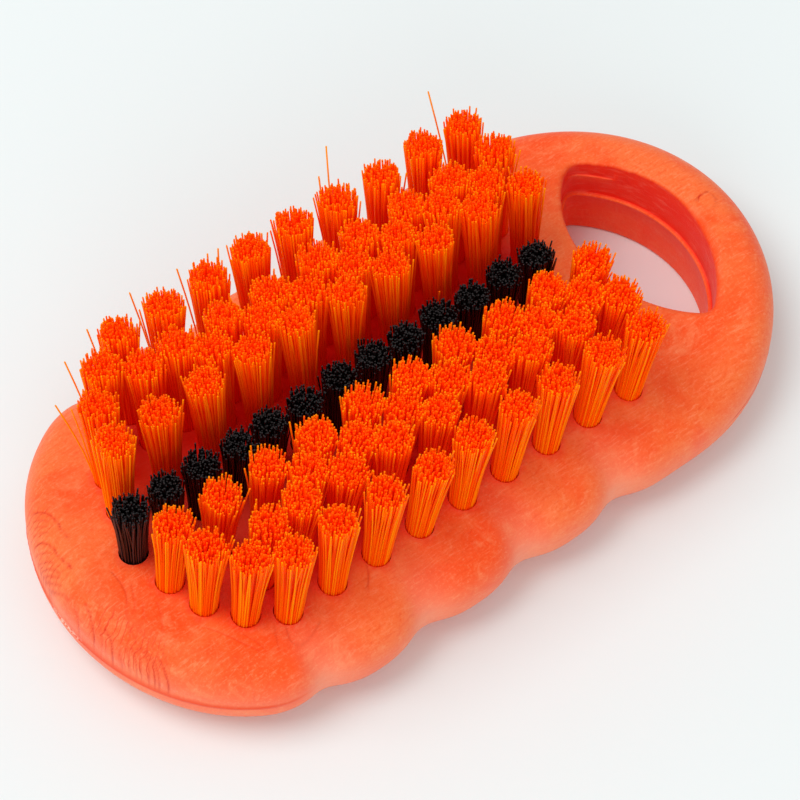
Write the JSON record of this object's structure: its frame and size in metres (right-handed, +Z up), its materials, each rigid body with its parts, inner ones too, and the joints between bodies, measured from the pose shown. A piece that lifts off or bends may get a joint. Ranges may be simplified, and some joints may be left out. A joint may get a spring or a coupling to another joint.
{
  "type": "nail brush",
  "caption": "Rounded moulded nail brush with scalloped grip sides, a lens-shaped handle hole, two banks of splayed orange bristle tufts and a shorter black centre row.",
  "frame": {"origin": "centre of the brush's footprint, on the table under its back", "axes": "+X along the brush from the toe to the handle hole, +Y across it to the far bank, +Z up towards the bristle tips"},
  "size_m": [0.129, 0.0656, 0.0363],
  "materials": {
    "block": "matte, lightly mottled",
    "orange_bristle": "satin filaments",
    "black_bristle": "satin filaments",
    "anchor_wire": "bright drawn wire"
  },
  "bodies": {
    "root": {"black_anchors": "anchor_wire", "black_tuft_01": "black_bristle", "black_tuft_02": "black_bristle", "black_tuft_03": "black_bristle", "black_tuft_04": "black_bristle", "black_tuft_05": "black_bristle", "black_tuft_06": "black_bristle", "black_tuft_07": "black_bristle", "black_tuft_08": "black_bristle", "black_tuft_09": "black_bristle", "black_tuft_10": "black_bristle", "black_tuft_11": "black_bristle", "black_tuft_12": "black_bristle", "black_tuft_13": "black_bristle", "block": "block", "far_anchors": "anchor_wire", "far_inner_tufts_01": "orange_bristle", "far_inner_tufts_02": "orange_bristle", "far_inner_tufts_03": "orange_bristle", "far_inner_tufts_04": "orange_bristle", "far_inner_tufts_05": "orange_bristle", "far_inner_tufts_06": "orange_bristle", "far_inner_tufts_07": "orange_bristle", "far_inner_tufts_08": "orange_bristle", "far_inner_tufts_09": "orange_bristle", "far_inner_tufts_10": "orange_bristle", "far_outer_tufts_01": "orange_bristle", "far_outer_tufts_02": "orange_bristle", "far_outer_tufts_03": "orange_bristle", "far_outer_tufts_04": "orange_bristle", "far_outer_tufts_05": "orange_bristle", "far_outer_tufts_06": "orange_bristle", "far_outer_tufts_07": "orange_bristle", "far_outer_tufts_08": "orange_bristle", "far_outer_tufts_09": "orange_bristle", "far_toe_tufts": "orange_bristle", "near_anchors": "anchor_wire", "near_inner_tufts_01": "orange_bristle", "near_inner_tufts_02": "orange_bristle", "near_inner_tufts_03": "orange_bristle", "near_inner_tufts_04": "orange_bristle", "near_inner_tufts_05": "orange_bristle", "near_inner_tufts_06": "orange_bristle", "near_inner_tufts_07": "orange_bristle", "near_inner_tufts_08": "orange_bristle", "near_inner_tufts_09": "orange_bristle", "near_inner_tufts_10": "orange_bristle", "near_outer_tufts_01": "orange_bristle", "near_outer_tufts_02": "orange_bristle", "near_outer_tufts_03": "orange_bristle", "near_outer_tufts_04": "orange_bristle", "near_outer_tufts_05": "orange_bristle", "near_outer_tufts_06": "orange_bristle", "near_outer_tufts_07": "orange_bristle", "near_outer_tufts_08": "orange_bristle", "near_outer_tufts_09": "orange_bristle", "near_toe_tufts": "orange_bristle"}
  },
  "joints": []
}
